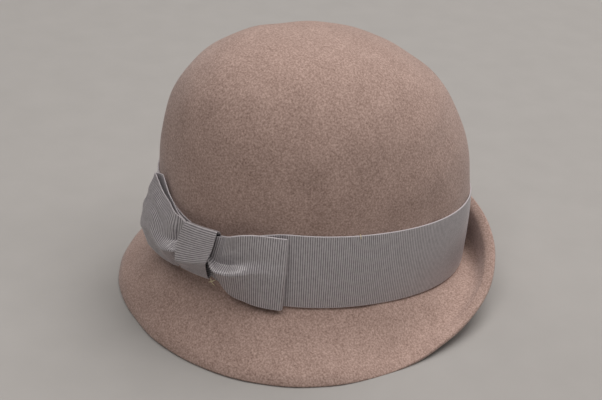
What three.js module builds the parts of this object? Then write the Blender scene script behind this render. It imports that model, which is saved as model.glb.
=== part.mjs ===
// Felt cloche hat: a hood blocked from one piece of wool felt, a ribbon band round its crown and a flat bow.
// Millimetres, +Z up. The wearer faces -Y, the wearer's left is +X, and the hat stands on its brim.
// A turn is an angle round the hat from the front towards the wearer's left.
import * as THREE from "three";

// Felt hood: the crown is measured outside, at the break line where crown and brim meet.
const FELT = 2.8; // wall
const HEAD_LENGTH = 203;
const HEAD_WIDTH = 166;
const HEAD_POWER = 2.14; // 2 is an ellipse, more is squarer
const BREAK_HEIGHT = 25; // above the table, at mid length
const BREAK_SLOPE = 0.098; // the break line rises this much per millimetre towards the front
const CROWN_HEIGHT = 148; // break line to the top
const CROWN_SIDE_POWER = 2.45; // how long the sides stay upright
const CROWN_TOP_POWER = 2.97; // how flat the top is
const CROWN_FULLNESS = 0.087; // share by which the crown swells above the break line
const CROWN_LEAN = 5; // the top stands this far forward
const CROWN_LEAN_POWER = 2.4; // and most of that comes near the top

// Brim: the outline of its edge seen from above.
const BRIM_LENGTH = 243;
const BRIM_WIDTH = 237;
const BRIM_POWER = 2.26;
const BRIM_FORWARD = 6;

// Brim sections round one half of the hat; the other half mirrors them.
// fall: slope downwards at the break line; lift: slope upwards at the edge; rise: height of the edge;
// handle: length over which the felt keeps its slope at either end; roll: how far the lip rolls outwards.
const BRIM_SECTIONS = [
  { turn: 0, fall: 57, lift: -50, rise: 0, handle: 15, roll: 0 },
  { turn: 35, fall: 55, lift: -46, rise: 0, handle: 15, roll: 0 },
  { turn: 70, fall: 49, lift: -32, rise: 0, handle: 15, roll: 0 },
  { turn: 92, fall: 40, lift: 6, rise: 1, handle: 15, roll: 1.5 },
  { turn: 110, fall: 30, lift: 48, rise: 9, handle: 14, roll: 4 },
  { turn: 130, fall: 22, lift: 76, rise: 23, handle: 13, roll: 5 },
  { turn: 155, fall: 26, lift: 84, rise: 38, handle: 16, roll: 5 },
  { turn: 180, fall: 30, lift: 86, rise: 45, handle: 18, roll: 5 },
];
const LIP_START = 0.86; // share of the brim's width where the lip begins
const LIP_INSET = 0.3; // share of the felt by which a lip that stands up is set in

// Soft dents in the crown: climb is 0 at the break line and 1 at the top, spread is in both measures.
const DENTS = [
  { turn: 150, climb: 0.76, depth: 0.9, turnSpread: 38, climbSpread: 0.14 },
  { turn: -25, climb: 0.36, depth: -1.1, turnSpread: 45, climbSpread: 0.2 },
];

// Ribbon: one 50 mm width for the band, the bow's loops and, folded narrower, its knot.
const RIBBON = 1; // wall
const RIBBON_WIDTH = 50;
const GAP = 0.3; // clearance between pieces that touch

// The band's two edges: it is pinched under the knot, and at its full width from the last row onwards.
const BAND_EDGES = [
  { along: 0, low: 15, high: 40 },
  { along: 10, low: 14, high: 41 },
  { along: 22, low: 7, high: 43.4 },
  { along: 32, low: 3, high: 46.6 },
  { along: 40, low: 1.6, high: 49.4 },
  { along: 50, low: 1.4, high: 51.4 },
  { along: 62, low: 1.4, high: 51.8 },
];

// Bow: along is measured round the band from the knot's middle, up from the break line, off from the band.
const BOW_TURN = 20.5;
const BACK_OFF_KNOT = 2.3; // the loop's inner layer lies on the knot's wrap here,
const BACK_OFF_BAND = 0.9; // and on the band from here outwards:
const BACK_OFF_REACH = [18, 30];
const FOLD_BULGE = 0.45; // share of a loop's depth by which its end bulges
const BROW_SHARE = 0.5; // place of the brow between a loop's valley and its upper edge

// The layers of each loop. low and high are the edges of the outer layer, and innerHigh is the upper edge of
// the inner one. The rest is how far the outer layer stands off the band, from its lower edge over a ridge
// and a valley, at the shares ridgeUp and valleyUp of its width, and over a brow to its upper edge.
const LOOP_COLUMNS = [
  "along", "low", "high", "innerHigh", "offLow", "ridgeUp", "ridge", "valleyUp", "valley", "brow", "offHigh",
];
const FRONT_LOOP = [
  [2, 14, 41.4, 37, 4.6, 0.4, 6.6, 0.56, 3.8, 3.8, 3.8],
  [9.5, 13.4, 41.8, 37.4, 4.8, 0.42, 9, 0.58, 3.8, 3.8, 3.8],
  [14.5, 13.6, 43.4, 41, 5.2, 0.39, 9.8, 0.6, 4.2, 4.4, 3.8],
  [17, 13, 44.4, 42.6, 5.6, 0.36, 10.3, 0.61, 5, 5, 3.7],
  [20, 8.2, 45.2, 43.4, 6, 0.4, 10.8, 0.62, 6, 5.6, 3.6],
  [26, 6.5, 47.9, 45.6, 6.4, 0.385, 11.8, 0.62, 8.6, 6.6, 3],
  [34, 6.4, 50.6, 50.2, 7.6, 0.38, 13, 0.62, 11, 8, 3.4],
  [46, 9.4, 58, 58.4, 10.4, 0.26, 14.2, 0.55, 12, 8.4, 4.4],
];
const BACK_LOOP = [
  [2, 26, 41.8, 37, 6, 0.1, 6.4, 0.3, 3.8, 3.8, 3.8],
  [9.5, 24.8, 42.8, 38, 8, 0.14, 9.4, 0.28, 3.8, 3.8, 3.8],
  [12.6, 14.5, 44.2, 40, 5.4, 0.34, 9.2, 0.46, 4.4, 5.6, 5],
  [16.5, 7.9, 45.9, 43, 4.6, 0.405, 8.8, 0.51, 3.8, 5.6, 5.2],
  [21.5, 5.4, 47.5, 44.8, 4.6, 0.437, 8.4, 0.58, 3.8, 5.2, 4.6],
  [27, 4.2, 49.3, 47, 4.6, 0.47, 7.6, 0.65, 4.3, 4.8, 4],
  [34, 2.8, 50.6, 48.7, 4.4, 0.51, 6.4, 0.71, 4.4, 4.4, 3.5],
  [51, 1.2, 50.6, 49.4, 4, 0.52, 4.6, 0.75, 4.1, 3.9, 3],
];
const FRONT_INNER_SHORT = 0.09; // share by which the front loop's inner layer is shorter
const BACK_END_SLANT = 0.05; // share by which the back loop is shorter at its lower edge

// The knot's wrap, once round the bow's middle: points of the ribbon's mid line, seen along the band.
// tilt: how far the ribbon rises there for each millimetre across the knot.
const KNOT_WRAP = [
  { up: 28, off: 0.95, tilt: 0.1 },
  { up: 17, off: 0.95, tilt: 0.1 },
  { up: 12.4, off: 1.3, tilt: 0.1 },
  { up: 10.2, off: 2.6, tilt: 0.1 },
  { up: 9.8, off: 4.6, tilt: 0.1 },
  { up: 15.5, off: 7.6, tilt: 0.2 },
  { up: 21.6, off: 10.7, tilt: 0.4 },
  { up: 23.4, off: 11.3, tilt: 0.41 },
  { up: 25.6, off: 11.3, tilt: 0.38 },
  { up: 34, off: 10.3, tilt: 0.2 },
  { up: 42.8, off: 9, tilt: 0.1 },
  { up: 45.3, off: 7.2, tilt: 0.1 },
  { up: 45.2, off: 3.8, tilt: 0.1 },
  { up: 43.4, off: 1.7, tilt: 0.1 },
  { up: 39, off: 1, tilt: 0.1 },
];
const KNOT_HALF_WIDTH = 11;
const KNOT_MIDDLE_UP = 33.5; // the knot leans across the band, and is level with its own middle here
const KNOT_LEAN = 0.225;

// Faces.
const COLUMNS = 72; // round the hood and the band
const BRIM_ROWS = 9;
const BRIM_GRADING = 1.4; // the rows lie closer together towards the edge
const BAND_ROWS = 5;
const DOME_ROWS = 12;
const LOOP_STEP = 7; // longest step along a loop
const FOLD_ROWS = 4;
const PLEAT_STEPS = [3, 2, 2, 2]; // across a loop: to its ridge, its valley, its brow and its upper edge
const KNOT_COLUMNS = 36; // round the knot
const KNOT_ROWS = 3; // across the knot

const felt = new THREE.MeshStandardMaterial({ color: 0x8f786f, roughness: 0.95, metalness: 0 });
const ribbon = new THREE.MeshStandardMaterial({ color: 0x7a7071, roughness: 0.7, metalness: 0 });

const radians = THREE.MathUtils.degToRad;
const mix = THREE.MathUtils.lerp;
const bell = (distance, spread) => Math.exp(-((distance / spread) ** 2));

// A smooth reader of a table: the first column is the place, and the others are read at any place.
function reader(rows) {
  const [place, ...columns] = Object.keys(rows[0]);
  const places = rows.map((row) => row[place]);
  const values = rows.flatMap((row) => columns.map((name) => row[name]));
  const spline = new THREE.CubicInterpolant(places, values, columns.length, new Float64Array(columns.length));
  spline.settings = { endingStart: THREE.ZeroSlopeEnding, endingEnd: THREE.ZeroSlopeEnding };
  return (at) => {
    const read = spline.evaluate(at);
    return Object.fromEntries(columns.map((name, i) => [name, read[i]]));
  };
}
const brimSection = reader(BRIM_SECTIONS);

// Degrees from the front, 0 to 180, of a turn on either side.
function fromFront(turn) {
  const degrees = THREE.MathUtils.euclideanModulo(THREE.MathUtils.radToDeg(turn), 360);
  return Math.min(degrees, 360 - degrees);
}

// Degrees between two turns, the short way round.
function between(turn, degrees) {
  return fromFront(turn - radians(degrees));
}

// A point of a superellipse round the Z axis.
function oval(turn, length, width, power) {
  const across = Math.abs(Math.sin(turn) / (width / 2)) ** power;
  const ahead = Math.abs(Math.cos(turn) / (length / 2)) ** power;
  const radius = (across + ahead) ** (-1 / power);
  return new THREE.Vector3(radius * Math.sin(turn), -radius * Math.cos(turn), 0);
}

// The crown's outside: climb is 0 at the break line and 1 at the top.
function crownPoint(turn, climb) {
  const angle = (climb * Math.PI) / 2;
  const inward = Math.cos(angle) ** (2 / CROWN_SIDE_POWER);
  const upward = Math.sin(angle) ** (2 / CROWN_TOP_POWER);
  const point = oval(turn, HEAD_LENGTH, HEAD_WIDTH, HEAD_POWER);
  const dent = DENTS.reduce((sum, row) => {
    const round = bell(between(turn, row.turn), row.turnSpread);
    return sum + row.depth * round * bell(climb - row.climb, row.climbSpread);
  }, 0);
  point.multiplyScalar(inward * (1 + CROWN_FULLNESS * upward) * (1 - dent / (HEAD_LENGTH / 2)));
  point.z = BREAK_HEIGHT + (CROWN_HEIGHT - dent) * upward - BREAK_SLOPE * point.y;
  point.y -= CROWN_LEAN * upward ** CROWN_LEAN_POWER;
  return point;
}

// The crown's outward direction at a point.
function crownNormal(turn, climb) {
  const step = 1e-3;
  const low = Math.max(climb, step);
  const round = crownPoint(turn + step, low).sub(crownPoint(turn - step, low));
  const up = crownPoint(turn, low + step).sub(crownPoint(turn, low));
  return round.cross(up).normalize();
}

// The climb at which the crown's wall, at the side of the hat, is this far above the break line.
function climbAt(up) {
  const step = 1e-3;
  let climb = 0;
  let length = 0;
  while (length < up) {
    const next = crownPoint(Math.PI / 2, climb + step).distanceTo(crownPoint(Math.PI / 2, climb));
    if (length + next > up) return climb + (step * (up - length)) / next;
    climb += step;
    length += next;
  }
  return climb;
}

// The brim's upper side: run is 0 at the break line and 1 at the edge.
function brimPoint(turn, run) {
  const section = brimSection(fromFront(turn));
  const fall = radians(section.fall);
  const lift = radians(section.lift);
  const start = crownPoint(turn, 0);
  const end = oval(turn, BRIM_LENGTH, BRIM_WIDTH, BRIM_POWER);
  end.y -= BRIM_FORWARD;
  const out = new THREE.Vector3(end.x - start.x, end.y - start.y, 0).normalize();
  end.addScaledVector(out, -FELT * LIP_INSET * Math.max(0, Math.sin(lift)) - section.roll);
  end.z = Math.max(0, section.rise);
  const leave = start.clone().addScaledVector(out, section.handle * Math.cos(fall));
  leave.z -= section.handle * Math.sin(fall);
  const arrive = end.clone().addScaledVector(out, -section.handle * Math.cos(lift));
  arrive.z -= section.handle * Math.sin(lift);
  const lip = Math.max(0, (run - LIP_START) / (1 - LIP_START)) ** 2;
  const point = new THREE.CubicBezierCurve3(start, leave, arrive, end).getPoint(run);
  return point.addScaledVector(out, section.roll * lip);
}

// Unit normals of a grid of points, towards the side from which its columns run right and its rows up.
function gridNormals(grid, wraps) {
  const last = grid.length - 1;
  const count = grid[0].length;
  return grid.map((row, r) =>
    row.map((_, c) => {
      const before = wraps ? (c + count - 1) % count : Math.max(c - 1, 0);
      const after = wraps ? (c + 1) % count : Math.min(c + 1, count - 1);
      const right = row[after].clone().sub(row[before]);
      const up = grid[Math.min(r + 1, last)][c].clone().sub(grid[Math.max(r - 1, 0)][c]);
      return right.cross(up).normalize();
    }),
  );
}

// A sheet of this thickness from a grid of points, reaching outer and inner along its normals.
// A grid that wraps closes on itself round its columns, a tip closes its last row to a point,
// and nothing reaches below the floor, where the sheet is pressed flat.
function sheet(grid, { outer, inner, wraps = false, tip = null }) {
  const normals = gridNormals(grid, wraps);
  const rows = grid.length;
  const columns = grid[0].length;
  const positions = [];
  for (const reach of [outer, inner]) {
    grid.forEach((row, r) =>
      row.forEach((point, c) => {
        const moved = point.clone().addScaledVector(normals[r][c], reach);
        positions.push(moved.x, moved.y, Math.max(moved.z, 0));
      }),
    );
  }
  const faces = [];
  const at = (side, r, c) => (side * rows + r) * columns + (c % columns);
  const quad = (a, b, c, d) => faces.push(a, b, c, a, c, d);
  const spans = wraps ? columns : columns - 1;
  for (let c = 0; c < spans; c++) {
    for (let r = 0; r < rows - 1; r++) {
      quad(at(0, r, c), at(0, r, c + 1), at(0, r + 1, c + 1), at(0, r + 1, c));
      quad(at(1, r, c), at(1, r + 1, c), at(1, r + 1, c + 1), at(1, r, c + 1));
    }
    quad(at(1, 0, c), at(1, 0, c + 1), at(0, 0, c + 1), at(0, 0, c));
    if (!tip) quad(at(0, rows - 1, c), at(0, rows - 1, c + 1), at(1, rows - 1, c + 1), at(1, rows - 1, c));
  }
  if (!wraps) {
    for (let r = 0; r < rows - 1; r++) {
      quad(at(1, r, 0), at(0, r, 0), at(0, r + 1, 0), at(1, r + 1, 0));
      const end = columns - 1;
      quad(at(0, r, end), at(1, r, end), at(1, r + 1, end), at(0, r + 1, end));
    }
  }
  if (tip) {
    const first = positions.length / 3;
    for (const reach of [outer, inner]) positions.push(tip.x, tip.y, tip.z + reach);
    for (let c = 0; c < columns; c++) {
      faces.push(at(0, rows - 1, c), at(0, rows - 1, c + 1), first);
      faces.push(at(1, rows - 1, c + 1), at(1, rows - 1, c), first + 1);
    }
  }
  const geometry = new THREE.BufferGeometry();
  geometry.setAttribute("position", new THREE.Float32BufferAttribute(positions, 3));
  geometry.setIndex(faces);
  geometry.computeVertexNormals();
  return geometry;
}

// Whole numbers from 0 to count.
const counting = (count) => Array.from({ length: count + 1 }, (_, i) => i);
const turns = counting(COLUMNS - 1).map((c) => (c / COLUMNS) * 2 * Math.PI);

// Crown and brim in one wall, from the brim's edge to the crown's top.
function hoodGeometry() {
  const runs = counting(BRIM_ROWS - 1).map((r) => 1 - (r / BRIM_ROWS) ** BRIM_GRADING);
  const brim = runs.map((run) => turns.map((turn) => brimPoint(turn, run)));
  const wall = counting(BAND_ROWS - 1).map((r) => climbAt((r / BAND_ROWS) * RIBBON_WIDTH));
  const dome = counting(DOME_ROWS - 1).map((r) => mix(climbAt(RIBBON_WIDTH), 1, r / DOME_ROWS));
  const crown = [...wall, ...dome].map((climb) => turns.map((turn) => crownPoint(turn, climb)));
  const tip = crownPoint(0, 1);
  return sheet([...brim, ...crown], { outer: 0, inner: -FELT, wraps: true, tip });
}

// The band: a ring of ribbon lying on the crown's wall, just above the break line.
function bandGeometry() {
  const edges = reader(BAND_EDGES);
  const middle = climbAt(RIBBON_WIDTH / 2);
  const knot = crownPoint(radians(BOW_TURN), middle);
  const widths = turns.map((turn) => edges(crownPoint(turn, middle).distanceTo(knot)));
  const grid = counting(BAND_ROWS).map((r) =>
    turns.map((turn, c) => crownPoint(turn, climbAt(mix(widths[c].low, widths[c].high, r / BAND_ROWS)))),
  );
  return sheet(grid, { outer: GAP + RIBBON, inner: GAP, wraps: true });
}

// The turn at a distance round the band's middle from the knot.
function turnAt(along) {
  const steps = 40;
  const middle = climbAt(RIBBON_WIDTH / 2);
  const small = 1e-3;
  let turn = radians(BOW_TURN);
  for (let i = 0; i < steps; i++) {
    const reach = crownPoint(turn + small, middle).distanceTo(crownPoint(turn, middle));
    turn += ((along / steps) * small) / reach;
  }
  return turn;
}

// A point placed on the band: round it from the knot, up it from the break line, and off its outer face.
function onBand(along, up, off) {
  const turn = turnAt(along);
  const climb = climbAt(up);
  return crownPoint(turn, climb).addScaledVector(crownNormal(turn, climb), GAP + RIBBON + off);
}

// Places across a loop's ribbon: its lower edge, ridge, valley, brow and upper edge.
function pleatStops(section) {
  return [0, section.ridgeUp, section.valleyUp, mix(section.valleyUp, 1, BROW_SHARE), 1];
}

// How far a loop's outer layer stands off the band at a place across its ribbon.
function loopOff(section, across) {
  const { smoothstep } = THREE.MathUtils;
  const [, ridgeUp, valleyUp, browUp, edge] = pleatStops(section);
  const climb = Math.sin((Math.min(across / ridgeUp, 1) * Math.PI) / 2);
  return (
    mix(section.offLow, section.ridge, climb) +
    (section.valley - section.ridge) * smoothstep(across, ridgeUp, valleyUp) +
    (section.brow - section.valley) * smoothstep(across, valleyUp, browUp) +
    (section.offHigh - section.brow) * smoothstep(across, browUp, edge)
  );
}

// One loop of the bow: out along the band, round the fold at its end, and back over itself to the knot.
function loopGeometry(table, direction, { innerShort = 0, endSlant = 0 }) {
  const named = table.map((row) => Object.fromEntries(row.map((value, i) => [LOOP_COLUMNS[i], value])));
  const section = reader(named);
  const places = named.map(({ along }) => along);
  const out = places.flatMap((place, i) => {
    const before = places[i - 1] ?? place;
    return place - before > LOOP_STEP ? [mix(before, place, 0.5), place] : [place];
  });
  const fold = counting(FOLD_ROWS).slice(1, -1).map((r) => (r / FOLD_ROWS) * Math.PI);
  const path = [
    ...out.map((along) => ({ along, layer: 0, bulge: 0 })),
    ...fold.map((angle) => ({
      along: places.at(-1),
      layer: (1 - Math.cos(angle)) / 2,
      bulge: FOLD_BULGE * Math.sin(angle),
    })),
    ...out.toReversed().map((along) => ({ along, layer: 1, bulge: 0 })),
  ];
  const grid = path.map(({ along, layer, bulge }) => {
    const read = section(along);
    const stops = pleatStops(read);
    const settle = THREE.MathUtils.smoothstep(along, ...BACK_OFF_REACH);
    const back = mix(BACK_OFF_KNOT, BACK_OFF_BAND, settle);
    const high = mix(read.innerHigh, read.high, layer);
    const acrosses = PLEAT_STEPS.flatMap((steps, i) =>
      counting(steps - 1).map((step) => mix(stops[i], stops[i + 1], step / steps)),
    );
    return [...acrosses, 1].map((across) => {
      const outer = loopOff(read, across);
      const length = along * (1 - endSlant * (1 - across)) * (1 - innerShort * (1 - layer));
      const reach = direction * (length + bulge * (outer - back));
      return onBand(reach, mix(read.low, high, across), mix(back, outer, layer));
    });
  });
  if (direction > 0) grid.reverse();
  return sheet(grid, { outer: RIBBON / 2, inner: -RIBBON / 2 });
}

// The knot: a short ribbon wrapped once round the middle of the bow, a little askew.
function knotGeometry() {
  const points = KNOT_WRAP.map(({ up, off, tilt }) => new THREE.Vector3(tilt, up, off));
  const curve = new THREE.CatmullRomCurve3(points, true, "centripetal");
  const wrap = curve.getSpacedPoints(KNOT_COLUMNS).slice(0, -1);
  const grid = counting(KNOT_ROWS).map((r) =>
    wrap.map(({ x: tilt, y: up, z: off }) => {
      const aside = mix(-KNOT_HALF_WIDTH, KNOT_HALF_WIDTH, r / KNOT_ROWS);
      return onBand(aside + KNOT_LEAN * (up - KNOT_MIDDLE_UP), up + tilt * aside, off);
    }),
  );
  return sheet(grid, { outer: RIBBON / 2, inner: -RIBBON / 2, wraps: true });
}

function piece(name, geometry, material) {
  const mesh = new THREE.Mesh(geometry, material);
  mesh.name = name;
  return mesh;
}

const bow = new THREE.Group();
bow.add(
  piece("bow_loop_front", loopGeometry(FRONT_LOOP, -1, { innerShort: FRONT_INNER_SHORT }), ribbon),
  piece("bow_loop_back", loopGeometry(BACK_LOOP, 1, { endSlant: BACK_END_SLANT }), ribbon),
  piece("bow_knot", knotGeometry(), ribbon),
);

const hat = new THREE.Group();
hat.add(piece("felt_body", hoodGeometry(), felt), piece("ribbon_band", bandGeometry(), ribbon), bow);

// The origin is on the table, under the middle of the hat's outline.
const box = new THREE.Box3().setFromObject(hat);
const centre = box.getCenter(new THREE.Vector3());
hat.position.set(-centre.x, -centre.y, -box.min.z);

export default hat;
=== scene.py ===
"""Felt cloche hat with a ribbon band and a flat bow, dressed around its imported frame.

Lengths are millimetres in the hat's own frame, whose Z axis is the middle of the crown. A mesh is moved into
the shared frame, in metres, as it is made. A turn is an angle round the hat, in radians, from its front
towards the wearer's left.
"""

import logging
import math
from dataclasses import dataclass, field
from enum import Enum
from typing import NamedTuple, Sequence

import bpy
import numpy as np
from mathutils import Matrix, Vector


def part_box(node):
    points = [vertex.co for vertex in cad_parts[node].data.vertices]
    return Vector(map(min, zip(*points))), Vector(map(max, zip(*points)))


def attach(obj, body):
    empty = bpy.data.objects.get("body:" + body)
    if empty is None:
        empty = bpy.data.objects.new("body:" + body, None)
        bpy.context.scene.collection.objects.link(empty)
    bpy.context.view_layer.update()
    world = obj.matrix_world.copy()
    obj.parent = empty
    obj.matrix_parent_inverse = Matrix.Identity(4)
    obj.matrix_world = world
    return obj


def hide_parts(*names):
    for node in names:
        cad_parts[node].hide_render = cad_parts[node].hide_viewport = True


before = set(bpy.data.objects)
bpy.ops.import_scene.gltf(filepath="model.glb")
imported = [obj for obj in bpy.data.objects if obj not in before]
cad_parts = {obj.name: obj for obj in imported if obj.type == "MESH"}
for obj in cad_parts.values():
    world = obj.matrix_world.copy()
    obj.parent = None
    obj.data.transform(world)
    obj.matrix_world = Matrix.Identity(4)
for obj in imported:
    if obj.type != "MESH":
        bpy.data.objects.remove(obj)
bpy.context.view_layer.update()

Array = np.ndarray
Pair = tuple[float, float]
Material = bpy.types.Material
Object = bpy.types.Object

LOG = logging.getLogger("cloche")
MM = 0.001
BODY = "root"
NOISE = "ShaderNodeTexNoise"
MIX = "ShaderNodeMix"
BUMP = "ShaderNodeBump"
MAP_RANGE = "ShaderNodeMapRange"
COLOUR_RESULT = 2  # a mix node has an output for each kind of value, and this one is the colour


class Slot(Enum):
    """The record's material slots."""

    FELT = "wool_felt"
    RIBBON = "grosgrain_ribbon"


class Side(Enum):
    """The two sides of the knot, as the direction of its loop round the band."""

    FRONT = -1
    BACK = 1


# Small mathematics


def bell(distance: Array, spread: float) -> Array:
    """A smooth bump: 1 at no distance, fading over the spread."""
    return np.exp(-((distance / spread) ** 2))


def ease(value: Array, low: float, high: float) -> Array:
    """0 below low, 1 above high and a smooth step between them."""
    share = np.clip((value - low) / (high - low), 0.0, 1.0)
    return share * share * (3.0 - 2.0 * share)


def mix(first: Array, second: Array, share: Array) -> Array:
    """The value at a share of the way from first to second."""
    return first + (second - first) * share


def unit(vectors: Array) -> Array:
    """The vectors at length 1."""
    return vectors / np.maximum(np.linalg.norm(vectors, axis=-1, keepdims=True), 1e-12)


def lengths_along(points: Array) -> Array:
    """The distance of each point of a line from its first, along the line."""
    steps = np.linalg.norm(np.diff(points, axis=0), axis=-1)
    return np.concatenate([[0.0], np.cumsum(steps)])


def grid_normals(grid: Array, closed_rows: bool, closed_columns: bool) -> Array:
    """Unit normals of a grid of points.

    Args:
        grid: Points, as rows by columns by 3.
        closed_rows: Whether the last row is next to the first.
        closed_columns: Whether the last column is next to the first.

    Returns:
        Normals of the same shape, along the cross product of the column and the row direction.
    """

    def steps(axis: int, closed: bool) -> Array:
        """Differences of the neighbours on both sides of each point."""
        wrapped = np.roll(grid, -1, axis) - np.roll(grid, 1, axis)
        return wrapped if closed else np.gradient(grid, axis=axis)

    return unit(np.cross(steps(1, closed_columns), steps(0, closed_rows)))


def unevenness(points: Array, wavelength: float, seed: int) -> Array:
    """A smooth random height at each point, as soft goods have it.

    Args:
        points: Points in millimetres, with coordinates on the last axis.
        wavelength: Typical distance from one rise to the next.
        seed: Number that chooses the pattern.

    Returns:
        Heights of about unit size, one for each point.
    """
    waves, slowest, fastest = 24, 0.7, 1.4
    rng = np.random.default_rng(seed)
    directions = unit(rng.normal(size=(waves, 3)))
    pace = rng.uniform(slowest, fastest, waves) * 2.0 * math.pi / wavelength
    phases = rng.uniform(0.0, 2.0 * math.pi, waves)
    return np.sin((points @ directions.T) * pace + phases).sum(-1) * math.sqrt(2.0 / waves)


def cubic(start: Array, leave: Array, end: Array, arrive: Array, share: Array) -> Array:
    """A smooth way from one value to another.

    Args:
        start: The value at its start.
        leave: Its slope there, for the whole way.
        end: The value at its end.
        arrive: Its slope there.
        share: How far along it to read.

    Returns:
        The values at the shares.
    """
    square, cube = share**2, share**3
    return (
        (2 * cube - 3 * square + 1) * start
        + (cube - 2 * square + share) * leave
        + (3 * square - 2 * cube) * end
        + (cube - square) * arrive
    )


class Table:
    """A short table, read smoothly between its rows. Its first column is the place."""

    def __init__(self, rows: Sequence[NamedTuple]) -> None:
        """Works out the slopes at the rows.

        Args:
            rows: Rows in rising order of place, all of one type.
        """
        self.row_type = type(rows[0])
        values = np.array(rows, float)
        self.places = values[:, 0]
        self.values = values[:, 1:]
        secants = np.diff(self.values, axis=0) / np.diff(self.places)[:, None]
        middle = (secants[1:] + secants[:-1]) / 2.0
        self.slopes = np.vstack([np.zeros_like(secants[:1]), middle, secants[-1:] / 2.0])

    def at(self, place: Array) -> NamedTuple:
        """Reads every column.

        Args:
            place: Where to read, held inside the table's range.

        Returns:
            A row of the table's own type, whose columns are arrays of place's shape.
        """
        place = np.clip(np.asarray(place, float), self.places[0], self.places[-1])
        after = np.clip(np.searchsorted(self.places, place, "right"), 1, len(self.places) - 1)
        before = after - 1
        span = (self.places[after] - self.places[before])[..., None]
        share = (place - self.places[before])[..., None] / span
        leave, arrive = span * self.slopes[before], span * self.slopes[after]
        read = cubic(self.values[before], leave, self.values[after], arrive, share)
        return self.row_type(place, *np.moveaxis(read, -1, 0))


def oval(turn: Array, length: float, width: float, power: float) -> Array:
    """Points of a superellipse round the Z axis.

    Args:
        turn: Turns of the points.
        length: Size along Y.
        width: Size along X.
        power: 2 is an ellipse, and more is squarer.

    Returns:
        X and Y of each point, on the last axis.
    """
    across = np.abs(np.sin(turn) / (width / 2.0)) ** power
    ahead = np.abs(np.cos(turn) / (length / 2.0)) ** power
    radius = (across + ahead) ** (-1.0 / power)
    return np.stack([radius * np.sin(turn), -radius * np.cos(turn)], -1)


def degrees_between(turn: Array, degrees: float) -> Array:
    """Degrees from a turn to an angle in degrees, the short way round."""
    return np.abs((np.degrees(turn) - degrees + 180.0) % 360.0 - 180.0)


# Meshes


def loft_faces(rows: int, columns: int, closed_rows: bool) -> Array:
    """Quads of a grid whose columns close on themselves.

    Args:
        rows: Number of rows.
        columns: Number of points in a row.
        closed_rows: Whether the last row joins the first.

    Returns:
        Four point numbers for each quad.
    """
    row = np.arange(rows if closed_rows else rows - 1)[:, None] * columns
    column = np.arange(columns)[None, :]
    after_row = (row + columns) % (rows * columns)
    after_column = (column + 1) % columns
    corners = [row + column, row + after_column, after_row + after_column, after_row + column]
    return np.stack(corners, -1).reshape(-1, 4)


def facing_out(points: Array, faces: Array) -> Array:
    """The faces of a closed mesh, turned round if they point inwards."""
    volume = (points[faces[:, :1]] * np.cross(points[faces[:, 1:-1]], points[faces[:, 2:]])).sum()
    return faces if volume > 0.0 else faces[:, ::-1]


def hat_to_frame(points: Array) -> Array:
    """Moves points from the hat's own millimetres to the shared frame's metres."""
    front = FeltHood.brim_length / 2.0 + FeltHood.brim_forward
    return points * MM + np.array([0.0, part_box("felt_body")[0].y + front * MM, 0.0])


def add_piece(
    name: str, points: Array, faces: Sequence, marks: dict[str, Array], material: Material
) -> Object:
    """Makes a smooth mesh piece that rides on the hat's body.

    Args:
        name: Name of the piece.
        points: Points in the hat's own frame.
        faces: Point numbers of each face.
        marks: Named values at the points, which the material reads.
        material: The piece's finish.

    Returns:
        The new object.
    """
    mesh = bpy.data.meshes.new(name)
    mesh.from_pydata(hat_to_frame(points).tolist(), [], [list(map(int, face)) for face in faces])
    mesh.shade_smooth()
    for label, values in marks.items():
        attribute = mesh.attributes.new(label, "FLOAT", "POINT")
        attribute.data.foreach_set("value", np.asarray(values, np.float32).ravel())
    mesh.materials.append(material)
    piece = bpy.data.objects.new(name, mesh)
    bpy.context.scene.collection.objects.link(piece)
    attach(piece, BODY)
    LOG.info("%s: %d points, %d faces", name, len(mesh.vertices), len(mesh.polygons))
    return piece


# Finishes


def linear(colour: str) -> tuple[float, float, float, float]:
    """Turns an sRGB hex colour into linear light.

    Args:
        colour: A # and two hex digits each for red, green and blue.

    Returns:
        Red, green, blue and alpha.
    """

    def channel(place: int) -> float:
        """One channel, by the sRGB standard's curve."""
        value = int(colour[place : place + 2], 16) / 255.0
        return value / 12.92 if value <= 0.04045 else ((value + 0.055) / 1.055) ** 2.4

    return channel(1), channel(3), channel(5), 1.0


def socket(node: bpy.types.Node, label: str) -> bpy.types.NodeSocket:
    """A node's input of that identifier, or else of that name with _ for a space."""
    by_identifier = [known for known in node.inputs if known.identifier == label]
    return by_identifier[0] if by_identifier else node.inputs[label.replace("_", " ")]


def add_node(
    tree: bpy.types.NodeTree, kind: str, links: dict | None = None, **settings: object
) -> bpy.types.Node:
    """Adds a node with its settings and links.

    Args:
        tree: The material's nodes.
        kind: Blender's name of the node type.
        links: Output sockets, by the identifier or name of the input that each feeds.
        settings: Values of the node's properties, or else of its inputs.

    Returns:
        The new node.
    """
    node = tree.nodes.new(kind)
    for label, value in settings.items():
        if hasattr(node, label):
            setattr(node, label, value)
        else:
            socket(node, label).default_value = value
    for label, source in (links or {}).items():
        tree.links.new(source, socket(node, label))
    return node


def new_material(name: str, **looks: object) -> tuple[Material, bpy.types.NodeTree, bpy.types.Node]:
    """Makes a material with a Principled shader.

    Args:
        name: The real material's name.
        looks: Values of the shader's inputs that are the same all over.

    Returns:
        The material, its nodes and its shader.
    """
    material = bpy.data.materials.new(name)
    material.use_nodes = True
    shader = material.node_tree.nodes["Principled BSDF"]
    for label, value in looks.items():
        socket(shader, label).default_value = value
    return material, material.node_tree, shader


def per_metre(size_mm: float) -> float:
    """The scale of a noise pattern whose grains have this size."""
    return 1.0 / (size_mm * MM)


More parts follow.
